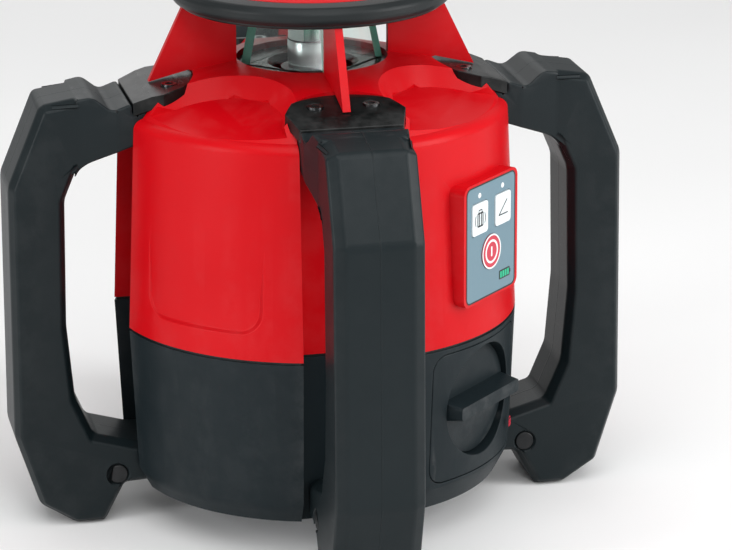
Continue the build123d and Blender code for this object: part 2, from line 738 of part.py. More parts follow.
def drive(x, y, nut_z, motor_top, motor_height, spindle_top, pin_direction, pin_length):
    """Levelling drive: motor, threaded spindle and the nut with its side pin."""
    motor = cylinder(motor_radius, motor_top - motor_height, motor_top, x, y)
    motor -= cylinder(spindle_radius + running_fit, motor_top - 4, motor_top + 1, x, y)
    spindle = cylinder(spindle_radius, motor_top - 3.8, spindle_top, x, y)
    nut = cylinder(nut_radius, nut_z - nut_height / 2, nut_z + nut_height / 2, x, y)
    if pin_direction == "x":
        nut += rod_x(nut_pin_radius, x + 3, x + 3 + pin_length, y, nut_z)
    else:
        nut += rod_y(nut_pin_radius, y - 3 - pin_length, y - 3, x, nut_z)
    nut -= cylinder(spindle_radius + running_fit, nut_z - 20, nut_z + 20, x, y)
    return motor, spindle, nut


motor_y, spindle_y, nut_y = drive(0, lever_y, gimbal_z, chassis_top + 20, 20, gimbal_z + 10, "x", 8.5)
parts["level_motor_y"] = motor_y
parts["spindle_y"] = spindle_y
parts["nut_y"] = nut_y
nut_x_z = gimbal_z - drive_x_drop
motor_x, spindle_x, nut_x = drive(drive_x.X, drive_x.Y, nut_x_z, shelf_z, 16, gimbal_z - 1, "y", 8.5)
parts["level_motor_x"] = motor_x
parts["spindle_x"] = spindle_x
parts["nut_x"] = nut_x

# ---------------------------------------------------------------- build: laser carrier
carrier = cylinder(carrier_plate_radius, ring_bottom_z, gimbal_z)
carrier += cylinder(tube_outer, tube_bottom_z, gimbal_z + 9)
carrier += cylinder(journal_radius, gimbal_z, journal_top_z)
for side in (-1, 1):
    trunnion = rod_y(5.5, min(side * 24, side * 35.5), max(side * 24, side * 35.5), 0, gimbal_z)
    carrier += trunnion
arm_y1 = drive_x.Y - nut_radius - 2
slot_half = nut_pin_radius + slot_sweep
arm = block(drive_x.X - slot_half - slot_end_wall, 0, arm_y1 - 4, arm_y1, nut_x_z - 5, nut_x_z + 5)
arm += block(-8, 0, arm_y1 - 4, 0, nut_x_z - 5, nut_x_z + 5)
arm -= block(drive_x.X - slot_half, drive_x.X + slot_half, arm_y1 - 5, arm_y1 + 1,
             nut_x_z - nut_pin_radius - slot_clearance, nut_x_z + nut_pin_radius + slot_clearance)
carrier += arm
carrier -= cylinder(tube_inner, tube_bottom_z - 1, gimbal_z)
carrier -= cylinder(beam_radius, gimbal_z - 1, journal_top_z + 1)
for side in (-1, 1):
    carrier -= rod_y(pin_radius + running_fit, min(side * 27.5, side * 40), max(side * 27.5, side * 40), 0, gimbal_z)
motor_angle = 20.0
motor_x_pos = motor_distance * cos(radians(motor_angle))
motor_y_pos = motor_distance * sin(radians(motor_angle))
carrier -= cylinder(3.2, ring_bottom_z - 1, gimbal_z + 1, motor_x_pos, motor_y_pos)
parts["carrier"] = carrier

parts["laser_module"] = cylinder(tube_inner, tube_bottom_z + 2, tube_bottom_z + 16) + \
    cylinder(4, tube_bottom_z + 16, tube_bottom_z + 20)
lens_z = tube_bottom_z + 34
parts["collimator_lens"] = cylinder(tube_inner, lens_z, lens_z + 3) + \
    (Pos(0, 0, lens_z + 3 - 24) * Sphere(26.0) & cylinder(tube_inner, lens_z + 3, lens_z + 6))
bearing_zs = (pulley_z + 0.5, journal_top_z - bearing_height - 0.5)
parts["head_bearings"] = [ring(bearing_outer, journal_radius, z, z + bearing_height) for z in bearing_zs]

head_motor = cylinder(motor_radius, ring_bottom_z - 22, ring_bottom_z, motor_x_pos, motor_y_pos)
head_motor -= cylinder(motor_shaft_radius + running_fit, ring_bottom_z - 4, ring_bottom_z + 1,
                       motor_x_pos, motor_y_pos)
parts["head_motor"] = head_motor

pulley_top = pulley_z + pulley_height
belt_z0 = pulley_z + 1.4
belt_z1 = pulley_top - 1.4


def belt_loop(extra):
    edges = [*Circle(head_pulley_groove + belt_clearance + extra).edges(),
             *(Pos(motor_x_pos, motor_y_pos) * Circle(motor_pulley_groove + belt_clearance + extra)).edges()]
    return make_hull(edges)


parts["drive_belt"] = Pos(0, 0, belt_z0) * extrude(belt_loop(belt_thickness) - belt_loop(0), belt_z1 - belt_z0)
parts["tilt_sensors"] = [block(-28, -16, 10, 16, gimbal_z, gimbal_z + 6),
                         block(-28, -16, -16, -10, gimbal_z, gimbal_z + 6)]


def pulley(groove, x=0.0, y=0.0):
    body = cylinder(groove, pulley_z, pulley_top, x, y)
    body += cylinder(groove + pulley_flange, pulley_z, pulley_z + 1.1, x, y)
    return body + cylinder(groove + pulley_flange, pulley_top - 1.1, pulley_top, x, y)


hub = pulley(head_pulley_groove)
hub += cylinder(hub_outer, pulley_top, journal_top_z + 1)
hub += cylinder(head_radius, journal_top_z + 1, head_bottom_z)
hub -= cylinder(bearing_outer + running_fit, pulley_z - 1, journal_top_z + 0.3)
hub -= cylinder(beam_radius, journal_top_z, head_bottom_z + 1)
parts["head_hub"] = hub
motor_pulley = pulley(motor_pulley_groove, motor_x_pos, motor_y_pos)
motor_pulley += cylinder(motor_shaft_radius, ring_bottom_z - 3.8, pulley_top, motor_x_pos, motor_y_pos)
parts["motor_pulley"] = motor_pulley

window_z = head_bottom_z + 10
head = cylinder(head_radius, head_bottom_z, head_top_z)
head -= cylinder(head_radius - head_wall, head_bottom_z + 8, head_top_z - 2)
head -= cylinder(beam_radius, head_bottom_z - 1, head_bottom_z + 9)
opening = block(3, 20, -5.5, 5.5, window_z, head_top_z - 3)
head -= Rot(0, 0, head_facing) * opening
parts["head_body"] = head
prism = block(-4.8, 3.4, -4.8, 4.8, head_bottom_z + 8, head_bottom_z + 17)
prism = prism - Pos(3.4, 0, head_bottom_z + 17) * Box(3, 20, 3)
parts["head_prism"] = Rot(0, 0, head_facing) * prism
shell = ring(head_radius - 0.3, head_radius - 1.5, window_z, head_top_z - 3)
parts["head_window"] = Rot(0, 0, head_facing) * (shell & block(3, 20, -5.4, 5.4, window_z, head_top_z - 3))

# ---------------------------------------------------------------- build: main board
board_y = 46.0
board_bottom = 28.0
board_top = 80.0
board_half_width = 34.0
foot_half_width = 4.0
main_board = [block(-board_half_width, board_half_width, board_y, board_y + board_thickness, board_bottom, board_top)]
for x in (-24, 24):
    main_board.append(block(x - foot_half_width, x + foot_half_width, board_y, board_y + board_thickness,
                            bottom_z + wall, board_bottom))
for x, z, w, h, t in ((-16, 60, 14, 14, 1.6), (12, 64, 20, 10, 1.2), (20, 42, 10, 12, 4.0), (-10, 38, 18, 8, 3.0)):
    main_board.append(block(x - w / 2, x + w / 2, board_y - t, board_y, z - h / 2, z + h / 2))
parts["main_board"] = main_board


# ---------------------------------------------------------------- write the parts
def as_shape(item):
    if isinstance(item, (list, ShapeList)):
        return Compound(children=[solid for piece in item for solid in piece.solids()])
    return item


os.makedirs("parts", exist_ok=True)
for node, item in parts.items():
    export_step(as_shape(item), "parts/" + node + ".step")
print(len(parts), "nodes")
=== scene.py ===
import json
from math import atan2, cos, pi, radians, sin, sqrt

import bmesh
import bpy
from bpy.props import FloatProperty, FloatVectorProperty, PointerProperty
from mathutils import Matrix, Vector


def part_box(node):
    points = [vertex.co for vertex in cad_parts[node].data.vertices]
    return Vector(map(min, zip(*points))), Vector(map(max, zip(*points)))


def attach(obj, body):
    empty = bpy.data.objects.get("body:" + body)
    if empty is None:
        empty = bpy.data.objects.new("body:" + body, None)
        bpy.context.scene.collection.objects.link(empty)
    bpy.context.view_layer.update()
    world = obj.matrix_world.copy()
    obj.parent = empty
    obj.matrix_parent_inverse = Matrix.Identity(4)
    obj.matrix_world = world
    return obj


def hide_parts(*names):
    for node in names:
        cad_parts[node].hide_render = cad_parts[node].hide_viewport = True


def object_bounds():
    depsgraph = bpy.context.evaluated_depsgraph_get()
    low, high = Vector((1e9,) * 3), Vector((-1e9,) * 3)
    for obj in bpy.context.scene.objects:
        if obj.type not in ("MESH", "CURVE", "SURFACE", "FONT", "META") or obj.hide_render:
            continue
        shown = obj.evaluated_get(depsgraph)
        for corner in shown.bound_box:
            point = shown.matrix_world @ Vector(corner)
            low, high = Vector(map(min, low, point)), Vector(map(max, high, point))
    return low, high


bl_info = {
    "name": "Rotating Laser Level",
    "version": (1, 0, 0),
    "blender": (4, 5, 0),
    "location": "View3D > Sidebar > Laser Level",
    "description": "Builds the visible shells, glass cage, keypad and fittings of a rotating laser level",
    "category": "Add Mesh",
}

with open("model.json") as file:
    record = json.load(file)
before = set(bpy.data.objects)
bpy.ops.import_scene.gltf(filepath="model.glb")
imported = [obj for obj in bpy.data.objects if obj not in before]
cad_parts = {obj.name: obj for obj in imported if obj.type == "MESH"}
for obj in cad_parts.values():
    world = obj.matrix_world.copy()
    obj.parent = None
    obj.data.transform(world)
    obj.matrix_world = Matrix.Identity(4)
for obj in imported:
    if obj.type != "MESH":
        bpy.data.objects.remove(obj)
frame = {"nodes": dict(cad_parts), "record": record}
CAD_LOW, CAD_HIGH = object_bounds()
NODES = frame["nodes"]
RECORD = frame["record"]
BODY_OF = {node: body for body, nodes in RECORD["behaviour"]["bodies"].items() for node in nodes}
SLOT_OF = {part["node"]: part["material_slot"] for part in RECORD["subparts"]}
CORNERS = {"front_left": -135, "front_right": -45, "rear_right": 45, "rear_left": 135}
SIDES = {"front": -90, "right": 0, "rear": 90, "left": 180}
MM = 0.001


# ------------------------------------------------------------------ sizes and colours
class StageSettings(bpy.types.PropertyGroup):
    """Where the camera stands and how the studio is lit."""

    camera_place: FloatVectorProperty(
        name="Camera place", description="Camera position in the object's frame",
        default=(-1.1228, -0.7446, 0.5192), subtype="TRANSLATION", unit="LENGTH")
    camera_aim: FloatVectorProperty(
        name="Camera aim", description="Point at the middle of the picture",
        default=(0.0120, -0.0181, 0.0956), subtype="TRANSLATION", unit="LENGTH")
    camera_roll: FloatProperty(
        name="Camera roll", description="Turn of the camera about its own axis", default=radians(-0.3),
        subtype="ANGLE", unit="ROTATION")
    lens: FloatProperty(
        name="Lens", description="Focal length for a 36 mm sensor", default=166.2, unit="CAMERA")
    floor_tone: FloatVectorProperty(
        name="Floor tone", description="Colour of the floor", default=(0.93, 0.93, 0.93), subtype="COLOR")
    floor_size: FloatProperty(name="Floor size", description="Side of the floor", default=8.0, unit="LENGTH")
    light_power: FloatProperty(
        name="Light power", description="Multiplies every studio light", default=1.0, min=0.0)
    surround: FloatProperty(
        name="Surround", description="Brightness of the room that the object reflects", default=0.4, min=0.0)


class ShellSettings(bpy.types.PropertyGroup):
    """Moulded housings, guard handles and flanges."""

    edge_radius: FloatProperty(
        name="Edge radius", description="Rounding of moulded edges", default=0.0012, unit="LENGTH")
    handle_edge: FloatProperty(
        name="Handle edge", description="Rounding of the handle's long edges", default=0.001, unit="LENGTH")
    handle_corner: FloatProperty(
        name="Handle corner", description="Rounding of the bends in the handle's outline", default=0.0022,
        unit="LENGTH")
    red: FloatVectorProperty(
        name="Red", description="Colour of the upper housing", default=(0.56, 0.0, 0.004), subtype="COLOR")
    slate: FloatVectorProperty(
        name="Slate", description="Colour of the lower housing", default=(0.008, 0.014, 0.017),
        subtype="COLOR")
    grip: FloatVectorProperty(
        name="Grip", description="Colour of the guard handles", default=(0.005, 0.010, 0.012),
        subtype="COLOR")


SETTINGS = {"laser_stage": StageSettings, "laser_shell": ShellSettings}


# ------------------------------------------------------------------ shader building
class Board:
    """A node tree that is wired by name."""

    def __init__(self, tree):
        self.tree = tree

    def add(self, kind, values=None, **settings):
        node = self.tree.nodes.new(kind)
        for name, value in settings.items():
            setattr(node, name, value)
        for socket, value in (values or {}).items():
            self.feed(value, node.inputs[socket])
        return node

    def feed(self, value, socket):
        if isinstance(value, bpy.types.NodeSocket):
            self.tree.links.new(value, socket)
        elif isinstance(value, (tuple, list)) and len(value) == 3 and socket.type == "RGBA":
            socket.default_value = (*value, 1.0)
        else:
            socket.default_value = value

    def math(self, operation, a, b=0.0, clamp=False):
        node = self.add("ShaderNodeMath", {0: a, 1: b}, operation=operation, use_clamp=clamp)
        return node.outputs[0]

    def ramp(self, value, low, high, low_to=0.0, high_to=1.0, smooth=False):
        node = self.add("ShaderNodeMapRange", {0: value, 1: low, 2: high, 3: low_to, 4: high_to})
        node.interpolation_type = "SMOOTHSTEP" if smooth else "LINEAR"
        return node.outputs[0]

    def mix(self, factor, a, b):
        node = self.add("ShaderNodeMix", data_type="RGBA")
        self.feed(factor, node.inputs[0])
        self.feed(a, node.inputs[6])
        self.feed(b, node.inputs[7])
        return node.outputs[2]

    def noise(self, scale, detail=2.0, roughness=0.5, vector=None):
        values = {"Scale": scale, "Detail": detail, "Roughness": roughness}
        if vector is not None:
            values["Vector"] = vector
        return self.add("ShaderNodeTexNoise", values).outputs[0]

    def place(self):
        return self.add("ShaderNodeTexCoord").outputs["Object"]

    def group(self, name, **values):
        node = self.add("ShaderNodeGroup", node_tree=bpy.data.node_groups[name])
        for socket, value in values.items():
            self.feed(value, node.inputs[socket.replace("_", " ")])
        return node


def new_group(name, inputs, outputs):
    tree = bpy.data.node_groups.new(name, "ShaderNodeTree")
    for socket, kind, value in inputs:
        made = tree.interface.new_socket(socket, in_out="INPUT", socket_type=kind)
        made.default_value = value
    for socket, kind in outputs:
        tree.interface.new_socket(socket, in_out="OUTPUT", socket_type=kind)
    board = Board(tree)
    return board, board.add("NodeGroupInput"), board.add("NodeGroupOutput")


def build_spark_grain():
    """Fine spark-eroded mould texture: pits on two scales."""
    board, start, end = new_group(
        "Spark Grain", [("Scale", "NodeSocketFloat", 2200.0), ("Depth", "NodeSocketFloat", 1.0)],
        [("Height", "NodeSocketFloat")])
    place = board.place()
    fine = board.noise(start.outputs["Scale"], 1.0, 0.5, place)
    coarse = board.noise(board.math("MULTIPLY", start.outputs["Scale"], 0.35), 2.0, 0.55, place)
    height = board.math("ADD", board.math("MULTIPLY", fine, 0.6), board.math("MULTIPLY", coarse, 0.4))
    board.feed(board.math("MULTIPLY", height, start.outputs["Depth"]), end.inputs["Height"])


def build_edge_wear():
    """Mask of outer edges that are lightened, for rubbed wear and, where the amount is high, a painted
    highlight; broken up by noise.
    """
    board, start, end = new_group(
        "Edge Wear And Highlight", [("Amount", "NodeSocketFloat", 0.5), ("Breakup", "NodeSocketFloat", 90.0)],
        [("Mask", "NodeSocketFloat")])
    edge = board.ramp(board.add("ShaderNodeNewGeometry").outputs["Pointiness"], 0.51, 0.58)
    patches = board.ramp(board.noise(start.outputs["Breakup"], 4.0, 0.65, board.place()), 0.4, 0.62)
    mask = board.math("MULTIPLY", edge, patches)
    board.feed(board.math("MULTIPLY", mask, start.outputs["Amount"], clamp=True), end.inputs["Mask"])


def build_handling():
    """Slow cloudy change of gloss from handling, with a few fine rubs."""
    board, start, end = new_group(
        "Handling", [("Size", "NodeSocketFloat", 18.0), ("Strength", "NodeSocketFloat", 1.0)],
        [("Cloud", "NodeSocketFloat"), ("Rubs", "NodeSocketFloat")])
    place = board.place()
    cloud = board.noise(start.outputs["Size"], 3.0, 0.55, place)
    centred = board.math("SUBTRACT", cloud, 0.5)
    board.feed(board.math("MULTIPLY", centred, start.outputs["Strength"]), end.inputs["Cloud"])
    stretched = board.add("ShaderNodeMapping", {"Vector": place, "Scale": (1.0, 1.0, 9.0)}).outputs[0]
    rubs = board.ramp(board.noise(160.0, 2.0, 0.4, stretched), 0.66, 0.72)
    board.feed(board.math("MULTIPLY", rubs, start.outputs["Strength"]), end.inputs["Rubs"])


def build_settled_dust():
    """Thin dust that settles on faces that look up."""
    board, start, end = new_group(
        "Settled Dust", [("Amount", "NodeSocketFloat", 0.1)], [("Mask", "NodeSocketFloat")])
    normal = board.add("ShaderNodeSeparateXYZ", {0: board.add("ShaderNodeNewGeometry").outputs["Normal"]})
    up = board.ramp(normal.outputs["Z"], 0.55, 1.0)
    specks = board.ramp(board.noise(420.0, 5.0, 0.7, board.place()), 0.45, 0.75)
    mask = board.math("MULTIPLY", up, specks)
    board.feed(board.math("MULTIPLY", mask, start.outputs["Amount"], clamp=True), end.inputs["Mask"])


def build_parting_line():
    """Fine raised line where a handle's mould halves met, in the plane through the body's axis."""
    board, start, end = new_group(
        "Parting Line", [("Width", "NodeSocketFloat", 0.00025)], [("Mask", "NodeSocketFloat")])
    place = board.add("ShaderNodeSeparateXYZ", {0: board.place()})
    x, y = place.outputs["X"], place.outputs["Y"]
    near = board.math("MINIMUM", board.math("ABSOLUTE", board.math("SUBTRACT", x, y)),
                      board.math("ABSOLUTE", board.math("ADD", x, y)))
    half = board.math("MULTIPLY", start.outputs["Width"], 0.7071)
    board.feed(board.ramp(near, half, board.math("MULTIPLY", half, 3.0), 1.0, 0.0, smooth=True),
               end.inputs["Mask"])


def build_label_recess():
    """Shallow panel on the left lobe for a nameplate, open at its top."""
    board, start, end = new_group(
        "Label Recess", [("Half Width", "NodeSocketFloat", 0.028), ("Bottom", "NodeSocketFloat", 0.0955),
                         ("Corner", "NodeSocketFloat", 0.010), ("Lip", "NodeSocketFloat", 0.0022)],
        [("Height", "NodeSocketFloat")])
    place = board.add("ShaderNodeSeparateXYZ", {0: board.place()})
    corner = start.outputs["Corner"]
    across = board.math("SUBTRACT", board.math("ABSOLUTE", place.outputs["Y"]),
                        board.math("SUBTRACT", start.outputs["Half Width"], corner))
    under = board.math("SUBTRACT", board.math("ADD", start.outputs["Bottom"], corner), place.outputs["Z"])
    across = board.math("MAXIMUM", across, 0.0)
    under = board.math("MAXIMUM", under, 0.0)
    distance = board.math("SQRT", board.math("ADD", board.math("MULTIPLY", across, across),
                                             board.math("MULTIPLY", under, under)))
    outside = board.math("SUBTRACT", distance, corner)
    step = board.ramp(outside, board.math("MULTIPLY", start.outputs["Lip"], -1.0), 0.0, 0.0, 1.0, smooth=True)
    fade = board.ramp(place.outputs["Z"], 0.104, 0.132, 0.0, 1.0, smooth=True)
    kept = board.math("MAXIMUM", step, fade)
    side = board.ramp(place.outputs["X"], -0.06, -0.058)
    board.feed(board.math("MAXIMUM", kept, side), end.inputs["Height"])


def new_material(name):
    material = bpy.data.materials.new(name)
    material.use_nodes = True
    material.node_tree.nodes.clear()
    board = Board(material.node_tree)
    shader = board.add("ShaderNodeBsdfPrincipled")
    output = board.add("ShaderNodeOutputMaterial")
    board.tree.links.new(shader.outputs[0], output.inputs["Surface"])
    return material, board, shader


def lighter(colour, share):
    return tuple(c + (1.0 - c) * share for c in colour)


def darker(colour, share):
    return tuple(c * (1.0 - share) for c in colour)


def moulded(name, colour, roughness=0.4, grain=0.25, grain_scale=2200.0, wear_and_highlight=0.4, dust=0.06,
            specular=0.5, relief=None, relief_depth=0.0):
    """Injection-moulded plastic: tone drift, spark grain, edges lightened for rubbed wear and a painted edge
    highlight, and a little dust.
    """
    material, board, shader = new_material(name)
    handling = board.group("Handling", Size=14.0, Strength=1.0)
    worn_and_lit = board.group("Edge Wear And Highlight", Amount=wear_and_highlight)
    dusty = board.group("Settled Dust", Amount=dust)
    tone = board.mix(board.ramp(handling.outputs["Cloud"], -0.25, 0.25), darker(colour, 0.05),
                     lighter(colour, 0.003))
    # Outer edges lightened: rubbed wear, plus a painted edge highlight where the amount is high.
    tone = board.mix(worn_and_lit.outputs["Mask"], tone, lighter(colour, 0.07))
    tone = board.mix(dusty.outputs["Mask"], tone, (0.55, 0.54, 0.52))
    board.feed(tone, shader.inputs["Base Color"])
    rough = board.math("ADD", roughness, board.math("MULTIPLY", handling.outputs["Cloud"], 0.06))
    rough = board.math("SUBTRACT", rough, board.math("MULTIPLY", worn_and_lit.outputs["Mask"], 0.08))
    rough = board.math("SUBTRACT", rough, board.math("MULTIPLY", handling.outputs["Rubs"], 0.04))
    rough = board.math("ADD", rough, board.math("MULTIPLY", dusty.outputs["Mask"], 0.5), clamp=True)
    board.feed(rough, shader.inputs["Roughness"])
    grained = board.group("Spark Grain", Scale=grain_scale, Depth=1.0)
    bump = board.add("ShaderNodeBump", {"Strength": grain, "Distance": 0.00012,
                                        "Height": grained.outputs["Height"]})
    if relief:
        raised = board.add("ShaderNodeBump", {"Strength": 1.0, "Distance": relief_depth,
                                              "Height": board.group(relief).outputs[0]})
        board.feed(raised.outputs[0], bump.inputs["Normal"])
    board.feed(bump.outputs[0], shader.inputs["Normal"])
    shader.inputs["Specular IOR Level"].default_value = specular
    return material


def metal(name, colour, roughness=0.35, brushed=0.0, scale=300.0):
    """Bare or plated metal with fine machining marks and a dull film in places."""
    material, board, shader = new_material(name)
    place = board.place()
    stretched = board.add("ShaderNodeMapping", {"Vector": place, "Scale": (1.0, 1.0, 14.0)}).outputs[0]
    marks = board.noise(scale, 3.0, 0.6, stretched)
    film = board.noise(45.0, 3.0, 0.5, place)
    tone = board.mix(board.ramp(film, 0.35, 0.7), colour, darker(colour, 0.22))
    board.feed(tone, shader.inputs["Base Color"])
    shader.inputs["Metallic"].default_value = 1.0
    rough = board.math("ADD", roughness, board.ramp(film, 0.3, 0.7, -0.06, 0.1), clamp=True)
    board.feed(rough, shader.inputs["Roughness"])
    bump = board.add("ShaderNodeBump", {"Strength": 0.15 + brushed, "Distance": 0.0001, "Height": marks})
    board.feed(bump.outputs[0], shader.inputs["Normal"])
    return material


def glass(name, tint, roughness=0.02, ior=1.5):
    """Clear pane with faint smears in its polish."""
    material, board, shader = new_material(name)
    smear = board.noise(60.0, 3.0, 0.6, board.place())
    board.feed(board.mix(board.ramp(smear, 0.3, 0.7), tint, lighter(tint, 0.4)), shader.inputs["Base Color"])
    board.feed(board.ramp(smear, 0.35, 0.7, roughness, roughness + 0.03), shader.inputs["Roughness"])
    shader.inputs["Transmission Weight"].default_value = 1.0
    shader.inputs["IOR"].default_value = ior
    return material


def circuit(name):
    """Green solder mask with lighter copper runs under it."""
    material, board, shader = new_material(name)
    runs = board.add("ShaderNodeTexBrick", {"Vector": board.place(), "Scale": 160.0, "Mortar Size": 0.03,
                                            "Color1": (0.01, 0.16, 0.06), "Color2": (0.012, 0.20, 0.08),
                                            "Mortar": (0.02, 0.32, 0.14)})
    board.feed(runs.outputs["Color"], shader.inputs["Base Color"])
    board.feed(board.ramp(board.noise(400.0), 0.3, 0.7, 0.25, 0.4), shader.inputs["Roughness"])
    return material


def printed(name, colour, glow=0.0):
    """Screen-printed ink or a small lamp: a slightly uneven film."""
    material, board, shader = new_material(name)
    film = board.noise(900.0, 2.0, 0.5, board.place())
    tone = board.mix(board.ramp(film, 0.3, 0.7), colour, darker(colour, 0.12))
    board.feed(tone, shader.inputs["Base Color"])
    board.feed(board.ramp(film, 0.3, 0.7, 0.35, 0.5), shader.inputs["Roughness"])
    if glow:
        board.feed(tone, shader.inputs["Emission Color"])
        shader.inputs["Emission Strength"].default_value = glow
    return material


def build_materials(shell):
    """One material for each of the record's slots, and the finishes of small pieces."""
    red, slate, grip = tuple(shell.red), tuple(shell.slate), tuple(shell.grip)
    return {
        "red_shell": moulded("Red Shell", red, 0.36, 0.22, 2600.0, wear_and_highlight=0.1, dust=0.0, specular=0.14,
                             relief="Label Recess", relief_depth=0.0014),
        "red_cap": moulded("Red Cap", red, 0.36, 0.22, 2600.0, wear_and_highlight=0.1, dust=0.004, specular=0.14),
        "dark_shell": moulded("Slate Shell", slate, 0.45, 0.4, 1900.0, wear_and_highlight=0.4, dust=0.004, specular=0.16),
        "grip_plastic": moulded("Handle Plastic", grip, 0.42, 0.4, 1700.0, wear_and_highlight=0.5, dust=0.004,
                                specular=0.2, relief="Parting Line", relief_depth=0.0002),
        "black_plastic": moulded("Black Plastic", (0.004, 0.005, 0.005), 0.3, 0.12, 2400.0, wear_and_highlight=0.35,
                                 dust=0.0, specular=0.25),
        # The high edge amount paints a lighter highlight along the black flange edges.
        "flange_gloss": moulded("Flange Plastic", (0.003, 0.004, 0.004), 0.3, 0.15, 2400.0, wear_and_highlight=0.7,
                                dust=0.0, specular=0.18),
        "bolt_black": moulded("Bolt Black", (0.006, 0.007, 0.008), 0.4, 0.3, 2000.0, wear_and_highlight=0.5, dust=0.0,
                              specular=0.25),
        "rubber": moulded("Bumper Rubber", (0.008, 0.011, 0.012), 0.45, 0.5, 1500.0, wear_and_highlight=0.2, dust=0.004,
                          specular=0.25),
        "belt_rubber": moulded("Belt Rubber", (0.012, 0.012, 0.012), 0.7, 0.6, 1200.0, wear_and_highlight=0.1),
        "head_white": moulded("Rotor White", (0.66, 0.74, 0.72), 0.3, 0.1, 2600.0, wear_and_highlight=0.1, dust=0.0),
        "foil_grey": moulded("Keypad Foil", (0.13, 0.22, 0.27), 0.38, 0.3, 3200.0, wear_and_highlight=0.0, dust=0.0),
        "key_white": moulded("Key White", (0.74, 0.80, 0.82), 0.36, 0.2, 3200.0, wear_and_highlight=0.0, dust=0.0),
        "key_red": moulded("Key Red", (0.52, 0.02, 0.05), 0.36, 0.2, 3200.0, wear_and_highlight=0.0, dust=0.0),
        "cell_wrap": moulded("Cell Sleeve", (0.02, 0.12, 0.35), 0.25, 0.05, 900.0, wear_and_highlight=0.1),
        "steel": metal("Blackened Steel", (0.16, 0.165, 0.17), 0.26),
        "bright_steel": metal("Satin Steel", (0.62, 0.65, 0.66), 0.3, 0.1),
        "cast_alloy": metal("Cast Alloy", (0.60, 0.61, 0.63), 0.48, 0.25, 700.0),
        "brass": metal("Brass", (0.83, 0.62, 0.28), 0.3),
        "pane_glass": glass("Pane Glass", (0.90, 0.98, 0.95)),
        "pane_edge": printed("Ground Glass Edge", (0.16, 0.50, 0.38)),
        "optics": glass("Coated Optics", (0.45, 0.95, 0.78), 0.03, 1.6),
        "circuit_board": circuit("Circuit Board"),
        "white_ink": printed("White Ink", (0.85, 0.86, 0.86)),
        "black_ink": printed("Black Ink", (0.008, 0.010, 0.012)),
        "red_ink": printed("Red Ink", (0.45, 0.01, 0.03)),
        "gauge_green": printed("Gauge Green", (0.005, 0.38, 0.20), 0.25),
    }


MATERIALS = {}


# ------------------------------------------------------------------ mesh building
def cleaned(node):
    """A copy of a node's mesh with its seams welded and its flat faces whole."""
    mesh = bmesh.new()
    mesh.from_mesh(NODES[node].data)
    bmesh.ops.remove_doubles(mesh, verts=mesh.verts, dist=1e-6)
    bmesh.ops.dissolve_limit(mesh, angle_limit=radians(0.5), verts=mesh.verts, edges=mesh.edges)
    return mesh


def finish_piece(mesh, name, body, slot, replaced=(), material=None):
    data = bpy.data.meshes.new(name)
    mesh.to_mesh(data)
    mesh.free()
    piece = bpy.data.objects.new(name, data)
    bpy.context.scene.collection.objects.link(piece)
    data.materials.append(MATERIALS[material or slot])
    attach(piece, body)
    if replaced:
        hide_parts(*replaced)
    return piece


def soften(piece, radius, segments=3, angle=28.0, weighted=False):
    """Rounds a piece's hard edges and smooths the rest."""
    bevel = piece.modifiers.new("Edges", "BEVEL")
    bevel.width = radius
    bevel.segments = segments
    bevel.limit_method = "WEIGHT" if weighted else "ANGLE"
    bevel.angle_limit = radians(angle)
    bevel.use_clamp_overlap = not weighted
    bevel.miter_outer = "MITER_ARC"
    piece.data.shade_smooth()
    piece.data.set_sharp_from_angle(angle=radians(angle))
    normals = piece.modifiers.new("Normals", "WEIGHTED_NORMAL")
    normals.keep_sharp = True
    return piece


def soft_copy(node, name, radius, segments=3, angle=28.0, material=None):
    piece = finish_piece(cleaned(node), name, BODY_OF[node], SLOT_OF[node], (node,), material)
    return soften(piece, radius, segments, angle)


def turned(points, segments=48):
    """Mesh made by turning (radius, height) points about Z; an open profile stays open."""
    mesh = bmesh.new()
    rings = []
    for radius, height in points:
        if radius < 1e-7:
            rings.append([mesh.verts.new((0, 0, height))])
            continue
        rings.append([mesh.verts.new((x, y, height)) for x, y in disc_outline(radius, count=segments)])
    for low, high in zip(rings, rings[1:]):
        for i in range(segments):
            j = (i + 1) % segments
            corners = [low[i % len(low)], low[j % len(low)], high[j % len(high)], high[i % len(high)]]
            unique = list(dict.fromkeys(corners))
            if len(unique) > 2:
                mesh.faces.new(unique)
    bmesh.ops.recalc_face_normals(mesh, faces=mesh.faces)
    return mesh


def plate(outlines, depth):
    """Closed outlines in the XY plane made into solid plates that rise from z = 0."""
    mesh = bmesh.new()
    for outline in outlines:
        low = [mesh.verts.new((x, y, 0.0)) for x, y in outline]
        high = [mesh.verts.new((x, y, depth)) for x, y in outline]
        mesh.faces.new(low)
        mesh.faces.new(high)
        for i in range(len(outline)):
            j = (i + 1) % len(outline)
            mesh.faces.new((low[i], low[j], high[j], high[i]))
    bmesh.ops.recalc_face_normals(mesh, faces=mesh.faces)
    return mesh


def band(outer, inner, depth):
    """Plate between an outer and an inner outline that have the same number of points."""
    mesh = bmesh.new()
    loops = [[mesh.verts.new((x, y, z)) for x, y in outline]
             for outline, z in ((outer, 0.0), (outer, depth), (inner, depth), (inner, 0.0))]
    for a, b in zip(loops, loops[1:] + loops[:1]):
        for i in range(len(outer)):
            j = (i + 1) % len(outer)
            mesh.faces.new((a[i], a[j], b[j], b[i]))
    bmesh.ops.recalc_face_normals(mesh, faces=mesh.faces)
    return mesh


def disc_outline(radius, x=0.0, y=0.0, count=32, first=0.0, last=2 * pi):
    full = abs(last - first - 2 * pi) < 1e-6
    steps = count if full else count - 1
    return [(x + radius * cos(first + (last - first) * i / steps),
             y + radius * sin(first + (last - first) * i / steps)) for i in range(count)]


def box_outline(width, height, corner, x=0.0, y=0.0, count=6):
    points = []
    for sx, sy, start in ((1, 1, 0), (-1, 1, pi / 2), (-1, -1, pi), (1, -1, 3 * pi / 2)):
        points += disc_outline(corner, x + sx * (width / 2 - corner), y + sy * (height / 2 - corner), count,
                               start, start + pi / 2)
    return points


